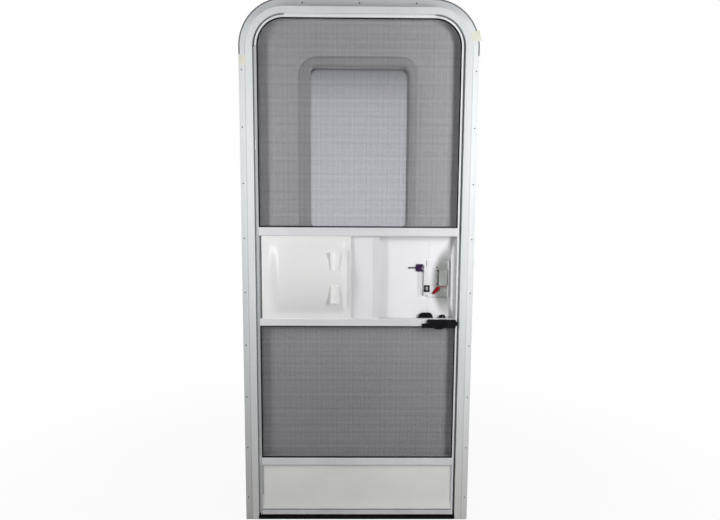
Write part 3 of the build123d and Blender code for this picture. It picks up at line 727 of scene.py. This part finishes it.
# door key with its blade, ring and film sleeve, and the tag that leans on the edge of the lock case
key = {
    "head": (0.2050, 0.2325, 0.9420, 0.9690),
    "headFront": -0.0165,
    "headRound": (0.0055, 0.0009),
    "blade": (0.1785, 0.2070, 0.9515, 0.9580),
    "cuts": (0.0000, 0.0012, 0.0022, 0.0010, 0.0024, 0.0008, 0.0018, 0.0006, 0.0020, 0.0002, 0.0000),
    "bladeThick": 0.0020,
    "skin": -0.0120,
    "ring": {"centre": (0.2340, 0.9560), "radius": 0.0070, "wire": 0.0006, "sides": 8, "steps": 28},
    "sleeve": (0.2120, 0.2360, 0.8540, 0.9450),
    "sleeveCells": (10, 14),
    "sleeveOff": 0.0010,
    "sleeveThick": 0.0002,
    "folds": {"depth": 0.0006, "shares": (0.4, 0.3), "across": 420, "upwards": 130, "skew": 300},
    "tag": (0.2335, 0.2565, 0.8580, 0.9600),
    "tagFront": -0.0176,
    "tagThick": 0.0010,
    "tagRound": (0.0012, 0.0001),
    "tagLean": 0.04,
    "mark": (0.2344, 0.2552, 0.8690, 0.8940),
    "markHole": (0.2405, 0.2490, 0.8755, 0.8880),
}


def leanTag(bm):
    # the tag's free side rests on the lock case, which stands out from the skin
    for v in bm.verts:
        v.co.y -= (v.co.x - key["tag"][0]) * key["tagLean"]


def makeKeyHead():
    bm = bmesh.new()
    addPlate(bm, key["head"], key["headFront"], key["skin"], *key["headRound"])
    makePiece("keyHead", bm, "keyPlastic", "entry_door", "door_key")


def makeKeyBlade():
    x0, x1, z0, z1 = key["blade"]
    steps = len(key["cuts"]) - 1
    bm = gridSheet((steps, 1), key["blade"], key["skin"] - key["bladeThick"])
    for v in bm.verts:
        if v.co.z < (z0 + z1) / 2:
            v.co.z += key["cuts"][round((v.co.x - x0) / (x1 - x0) * steps)]
    thicken(bm, key["bladeThick"])
    makePiece("keyBlade", bm, "bladeSteel", "entry_door", "door_key")


def makeKeyRing():
    ring = key["ring"]
    x, z = ring["centre"]
    y = key["headFront"]
    bm = bmesh.new()
    wireLoop = bmesh.ops.create_circle(bm, segments=ring["sides"], radius=ring["wire"],
                                       matrix=Matrix.Translation((x + ring["radius"], y, z)))["verts"]
    bmesh.ops.spin(bm, geom=wireLoop + bm.edges[:], cent=(x, y, z), axis=(0, 1, 0),
                   angle=2 * math.pi, steps=ring["steps"], use_merge=True)
    bmesh.ops.remove_doubles(bm, verts=bm.verts, dist=touching)
    bmesh.ops.recalc_face_normals(bm, faces=bm.faces)
    makePiece("keyRing", bm, "platedSteel", "entry_door", "door_key")


def makeTag():
    front = key["tagFront"]
    for name, place, proud, finish, slot, replaced in (
            ("keyTag", "tag", 0.0, "tagCard", "white_panel", "door_key"),
            ("tagMark", "mark", 0.0003, "tagInk", "black_plastic", None),
            ("tagWindow", "markHole", 0.0005, "slotPlastic", "grey_plastic", None)):
        bm = bmesh.new()
        addPlate(bm, key[place], front - proud, front + key["tagThick"], *key["tagRound"])
        leanTag(bm)
        makePiece(name, bm, finish, "entry_door", replaced)


def makeSleeve():
    folds = key["folds"]
    left, foot = key["sleeve"][0::2]
    bm = gridSheet(key["sleeveCells"], key["sleeve"], key["skin"])
    for v in bm.verts:
        fold = math.sin((v.co.x - left) * folds["across"]) * folds["shares"][0]
        fold += math.sin((v.co.z - foot) * folds["upwards"] + v.co.x * folds["skew"]) * folds["shares"][1]
        v.co.y -= key["sleeveOff"] + folds["depth"] * fold
    thicken(bm, key["sleeveThick"])
    makePiece("keySleeve", bm, "sleeveFilm", "entry_door")


makeKeyHead()
makeKeyBlade()
makeKeyRing()
makeTag()
makeSleeve()
print("key hung")

# lock: dished paddle, tapered red lever, the scooped pan round them and what is in the pocket
lock = {
    "paddleDish": 0.0014,
    "paddlePowers": (4, 6),
    "paddleCells": (10, 16),
    "paddleSoften": 0.0012,
    "leverEnds": ((0.2690, 0.8660, 0.0046), (0.2846, 0.8815, 0.0072)),
    "leverSides": 32,
    "leverFlat": 0.02,
    "leverSoften": 0.0012,
    "flag": (0.2880, 0.3165, 0.8866, 0.8895),
    "bar": (0.2925, 0.3155, 0.8700, 0.8790),
    "caseFront": -0.0170,
    "liner": (0.2684, 0.2860, 0.8914, 0.9486),
    "linerFront": -0.0090,
    "trimDepth": (0.0004, 0.0006),
    "trimRound": (0.0008, 0.0001),
    "scoopX": (0.2560, 0.3160),
    "scoopLip": 0.0040,
    "edgePlate": ((0.7940, 0.3405), (0.8080, 0.3340), (0.8260, 0.3318), (0.8540, 0.3309), (0.9120, 0.3303),
                  (0.9690, 0.3300), (0.9980, 0.3303), (1.0120, 0.3332), (1.0265, 0.3357), (1.0410, 0.3396),
                  (1.0480, 0.3425)),
    "plateCells": (3, 64),
    "plateThick": 0.0008,
    "scoopZ": (0.9180, 0.1480),
    "scoopDeep": 0.0090,
    "panCells": (48, 120),
    "panSharp": 180,
    "panWall": 0.0016,
    "panFade": 0.0160,
    "panSkin": -0.0121,
}


def makePaddle():
    # a block with straight sides and a hollowed front
    low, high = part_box("lock_paddle")
    powerX, powerZ = lock["paddlePowers"]
    bm = gridSheet(lock["paddleCells"], (low[0], high[0], low[2], high[2]), low[1])
    for v in bm.verts:
        across = 2 * (v.co.x - low[0]) / (high[0] - low[0]) - 1
        along = 2 * (v.co.z - low[2]) / (high[2] - low[2]) - 1
        v.co.y += lock["paddleDish"] * (1 - across ** powerX) * (1 - along ** powerZ)
    for v in addSkirt(bm):
        v.co.y = high[1]
    bmesh.ops.recalc_face_normals(bm, faces=bm.faces)
    block = makePiece("paddleBlock", bm, "paddleMoulding", "paddle", "lock_paddle")
    soften(block, lock["paddleSoften"])


def makeLever():
    low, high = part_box("deadbolt_lever")
    bm = bmesh.new()
    for x, z, radius in lock["leverEnds"]:
        for y in (low[1], high[1]):
            place = Matrix.Translation((x, y, z)) @ Matrix.Rotation(math.pi / 2, 4, "X")
            bmesh.ops.create_circle(bm, segments=lock["leverSides"], radius=radius, matrix=place)
    bmesh.ops.convex_hull(bm, input=bm.verts[:])
    loose = [v for v in bm.verts if not v.link_faces]
    bmesh.ops.delete(bm, geom=loose, context="VERTS")
    bmesh.ops.dissolve_limit(bm, angle_limit=lock["leverFlat"], verts=bm.verts[:], edges=bm.edges[:])
    bmesh.ops.recalc_face_normals(bm, faces=bm.faces)
    moulding = makePiece("leverMoulding", bm, "redMoulding", "lever", "deadbolt_lever")
    soften(moulding, lock["leverSoften"])


def plateEdge(z):
    # where the metal plate begins at a height
    outline = lock["edgePlate"]
    for (z0, x0), (z1, x1) in zip(outline, outline[1:]):
        if z0 <= z <= z1:
            return x0 + (x1 - x0) * (z - z0) / (z1 - z0)
    return outline[0][1] if z < outline[0][0] else outline[-1][1]


def scoopDepth(x, z):
    start, floor = lock["scoopX"]
    middle, half = lock["scoopZ"]
    bow = lockPaintedShade["bow"] * (z - middle) ** 2
    inward = easedStep((x - start - bow) / (floor - start)) * easedStep((plateEdge(z) - x) / lock["scoopLip"])
    return lock["scoopDeep"] * inward * math.sqrt(max(0.0, 1 - ((z - middle) / half) ** 2))


def makePan():
    low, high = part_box("lock_pan")
    bm = gridSheet(lock["panCells"], (low[0], high[0], low[2], high[2]), low[1])
    for v in bm.verts:
        rim = min(v.co.x - low[0], high[2] - v.co.z, v.co.z - low[2])
        flush = (lock["panSkin"] - low[1]) * (1 - easedStep(rim / lock["panFade"]))
        v.co.y += scoopDepth(v.co.x, v.co.z) + flush
    pan = makePiece("panMoulding", bm, "lockShade", "entry_door", "lock_pan", lock["panSharp"])
    addWall(pan, lock["panWall"])


def makeEdgePlate():
    low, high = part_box("lock_pan")
    foot, head = lock["edgePlate"][0][0], lock["edgePlate"][-1][0]
    bm = gridSheet(lock["plateCells"], (0.0, 1.0, foot, head), low[1] - lock["plateThick"])
    for v in bm.verts:
        edge = plateEdge(v.co.z)
        v.co.x = edge + (high[0] - edge) * v.co.x
    thicken(bm, lock["plateThick"])
    makePiece("edgePlate", bm, "edgeMetal", "entry_door")


def makeLockTrim():
    front = lock["caseFront"]
    proud, sunk = lock["trimDepth"]
    for name, place, face, finish, slot in (
            ("lockedFlag", "flag", front, "redMoulding", "red_plastic"),
            ("latchBar", "bar", front, "slotPlastic", "grey_plastic"),
            ("pocketLiner", "liner", lock["linerFront"], "slotPlastic", "grey_plastic")):
        bm = bmesh.new()
        addPlate(bm, lock[place], face - proud, face + sunk, *lock["trimRound"])
        makePiece(name, bm, finish, "entry_door")


makePaddle()
makeLever()
makePan()
makeEdgePlate()
makeLockTrim()
print("lock dressed")

# kick panel: a thin sheet set back between the rails, drawn in a little at its middle, its foot turned up
kickSheet = {"front": -0.0360, "cells": (40, 30), "dish": 0.0010, "thick": 0.0012,
             "flare": 0.0038, "flareTop": 0.30}


def makeKickSheet():
    low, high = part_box("kick_panel")
    bm = gridSheet(kickSheet["cells"], (low[0], high[0], low[2], high[2]), kickSheet["front"])
    for v in bm.verts:
        across = (v.co.x - low[0]) / (high[0] - low[0])
        along = (v.co.z - low[2]) / (high[2] - low[2])
        v.co.y += kickSheet["dish"] * math.sin(math.pi * across) * math.sin(math.pi * along)
        v.co.y -= kickSheet["flare"] * max(1 - along / kickSheet["flareTop"], 0.0) ** 2
    thicken(bm, kickSheet["thick"])
    makePiece("kickSheet", bm, "kickPaint", "screen_door", "kick_panel")


makeKickSheet()
print("kick panel set")

# inner window trim: a soft band, a wall that leans outwards behind it and a flange that lies on the glass
trim = {
    "foot": 1.0680,
    "radius": 0.0670,
    "cornerSteps": 16,
    "start": -0.0120,
    "band": ((0.0012, -0.0148), (0.0038, -0.0168), (0.0050, -0.0175), (0.0100, -0.0174), (0.0100, -0.0170),
             (0.0065, -0.0160), (0.0015, -0.0140)),
    "narrowed": (0.40, 0.19),  # share by which the band is narrower at its foot and at its head
    "well": ((0.0005, (1.015, 1.0, 1.025)), (0.0125, (1.046, 1.0, 0.99))),
    "onGlass": 0.0004,
    "sharp": 50,
    "wall": 0.0015,
}


def makeTrim():
    low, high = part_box("window_inner_trim")
    bm = gridSheet((1, 1), (low[0], high[0], trim["foot"], high[2]), trim["start"])
    roundCorners(bm, trim["radius"], trim["cornerSteps"])
    middle = bm.faces[:][0]
    centre = (trim["foot"] + high[2]) / 2
    atFoot, atHead = trim["narrowed"]

    def stepIn(step, level):
        # each ring lies further in, at its own depth
        bmesh.ops.inset_region(bm, faces=[middle], thickness=step, use_boundary=True, use_even_offset=True)
        for v in middle.verts:
            v.co.y = level

    for step, level in trim["band"]:
        stepIn(step, level)
        for v in middle.verts:
            v.co.z += step * (atHead if v.co.z > centre else -atFoot)
    for step, spread in trim["well"]:
        stepIn(step, trim["onGlass"])
        bmesh.ops.scale(bm, vec=spread, space=Matrix.Translation((0, 0, -centre)), verts=middle.verts)
    bmesh.ops.delete(bm, geom=[middle], context="FACES_ONLY")
    moulding = makePiece("windowTrim", bm, "trimMoulding", "entry_door", "window_inner_trim",
                         trim["sharp"])
    addWall(moulding, trim["wall"])


makeTrim()
print("window trimmed")

# grips of the screen catch: two rounded tongues behind the hatch's lower rail
grips = {
    "tongues": ((0.2160, 0.2690, 0.7950), (0.2890, 0.3145, 0.7872)),
    "foot": 0.7660,
    "depth": (-0.0229, -0.0170),
    "sides": 64,
    "round": (0.55, 0.70),
    "edgeRound": (0.0014, 3),
}


def makeGrips():
    bm = bmesh.new()
    front, back = grips["depth"]
    foot = grips["foot"]
    for x0, x1, head in grips["tongues"]:
        part = bmesh.new()
        bmesh.ops.create_circle(part, cap_ends=True, segments=grips["sides"], radius=1.0,
                                matrix=Matrix.Rotation(math.pi / 2, 4, "X"))
        bmesh.ops.bisect_plane(part, geom=part.verts[:] + part.edges[:] + part.faces[:], dist=touching,
                               plane_co=(0, 0, 0), plane_no=(0, 0, 1), clear_inner=True)
        for v in part.verts:
            across = math.copysign(abs(v.co.x) ** grips["round"][0], v.co.x)
            along = max(v.co.z, 0.0) ** grips["round"][1]
            v.co = ((x0 + x1) / 2 + (x1 - x0) / 2 * across, front, foot + (head - foot) * along)
        addDeep(bm, part, front, back, *grips["edgeRound"])
    makePiece("catchGrips", bm, "blackMoulding", "screen_door", "screen_catch_grips")


makeGrips()
print("catch grips moulded")

# pile strips that close the gaps round the screen door, on its hinge side and at its head
piles = {
    "hingeSidePile": {"span": (-0.3580, -0.3512, 0.0480, 1.7060), "cells": (4, 400), "curl": 80.0,
                      "front": -0.0420, "back": -0.0300, "ripple": (0.0004, 900), "finish": "pileGrey"},
    "headPile": {"span": (-0.2530, 0.2530, 1.8083, 1.8134), "cells": (240, 4), "curl": 0.0,
                 "front": -0.0410, "back": -0.0300, "ripple": (0.0004, 900), "finish": "palePile"},
}


def makePile(name):
    strip = piles[name]
    right = strip["span"][1]
    height, rate = strip["ripple"]
    bm = gridSheet(strip["cells"], strip["span"], strip["front"])
    for v in bm.verts:
        v.co.y += height * math.sin((v.co.x + v.co.z) * rate) + strip["curl"] * (right - v.co.x) ** 2
    thicken(bm, strip["back"] - strip["front"])
    makePiece(name, bm, strip["finish"], "screen_door")


for stripName in piles:
    makePile(stripName)
print("pile strips set")

# strips of masking tape left on the flange, slightly cockled
tape = {
    "cells": (12, 10),
    "off": 0.0005,
    "cockle": 0.0003,
    "rates": (150, 700),
    "thick": 0.00015,
    "strips": {
        "leftTape": {"span": (-0.4125, -0.3835, 1.6530, 1.6850), "tilt": 0.03},
        "rightTape": {"span": (0.3850, 0.4150, 1.7350, 1.7700), "tilt": -0.24},
    },
}


def makeTape(name):
    strip = tape["strips"][name]
    x0, x1, z0, z1 = strip["span"]
    rateX, rateZ = tape["rates"]
    bm = gridSheet(tape["cells"], strip["span"], 0.0)
    for v in bm.verts:
        v.co.y -= tape["off"] + tape["cockle"] * math.sin(v.co.z * rateZ + v.co.x * rateX)
    middle = ((x0 + x1) / 2, 0.0, (z0 + z1) / 2)
    bmesh.ops.rotate(bm, cent=middle, matrix=Matrix.Rotation(strip["tilt"], 3, "Y"), verts=bm.verts)
    thicken(bm, tape["thick"])
    makePiece(name, bm, "tapePaper", "frame")


for name in tape["strips"]:
    makeTape(name)
print("tape laid")

# hole plugs and screw heads: their places, the side they face and their radius
screws = {
    "flangePlugs": {"body": "frame", "finish": "blackRubber", "slot": "black_rubber", "radius": 0.0027,
                    "places": [(side * 0.4035, 0.0006, 0.0870 + row * 0.19375)
                               for side in (-1, 1) for row in range(9)], "facing": (0, -1, 0)},
    "headPlugs": {"body": "frame", "finish": "blackRubber", "slot": "black_rubber", "radius": 0.0034,
                  "places": [(x, 0.0006, 1.8590) for x in (-0.1940, 0.0, 0.1940)], "facing": (0, -1, 0)},
    "caseScrew": {"body": "entry_door", "finish": "blackMoulding", "slot": "steel", "radius": 0.0032,
                  "places": [(0.2795, -0.0170, 0.9570)], "facing": (0, -1, 0)},
    "gripRivet": {"body": "screen_door", "finish": "screwSteel", "slot": "steel", "radius": 0.0022,
                  "places": [(0.3035, -0.0232, 0.7800)], "facing": (0, -1, 0)},
    "frameLeafScrews": {"body": "frame", "finish": "screwSteel", "slot": "steel", "radius": 0.0042,
                        "places": [(-0.3975, 0.0040, low + step) for low in (0.2085, 0.7715, 1.3345)
                                   for step in (0.016, 0.062, 0.108)], "facing": (0, 1, 0)},
    "doorLeafScrews": {"body": "entry_door", "finish": "screwSteel", "slot": "steel", "radius": 0.0042,
                       "places": [(x, 0.0220, z) for x in (-0.3440, -0.3200)
                                  for z in (0.2860, 0.8170, 0.8500, 1.4120)], "facing": (0, 1, 0)},
    "strikeScrews": {"body": "frame", "finish": "screwSteel", "slot": "steel", "radius": 0.0032,
                     "places": [(0.3575, -0.0060, z) for z in (0.8880, 0.9480)], "facing": (-1, 0, 0)},
}
# lengths here are shares of the radius
screwHead = {"sides": 14, "taper": 0.7, "height": 0.5, "rim": 0.3, "hollow": 0.15, "facingFrom": 0.95}


def makeScrews(name):
    spec = screws[name]
    radius = spec["radius"]
    facing = Vector(spec["facing"]).normalized()
    turn = Vector((0, 0, 1)).rotation_difference(facing).to_matrix().to_4x4()
    bm = bmesh.new()
    for place in spec["places"]:
        head = bmesh.ops.create_cone(bm, cap_ends=True, segments=screwHead["sides"], radius1=radius,
                                     radius2=radius * screwHead["taper"], depth=radius * screwHead["height"],
                                     matrix=Matrix.Translation(place) @ turn)
        bm.normal_update()
        cap = {face for v in head["verts"] for face in v.link_faces
               if face.normal.dot(facing) > screwHead["facingFrom"]}
        bmesh.ops.inset_individual(bm, faces=list(cap), thickness=radius * screwHead["rim"],
                                   depth=-radius * screwHead["hollow"])
    bmesh.ops.recalc_face_normals(bm, faces=bm.faces)
    makePiece(name, bm, spec["finish"], spec["body"])


for name in screws:
    makeScrews(name)
print("screws driven")
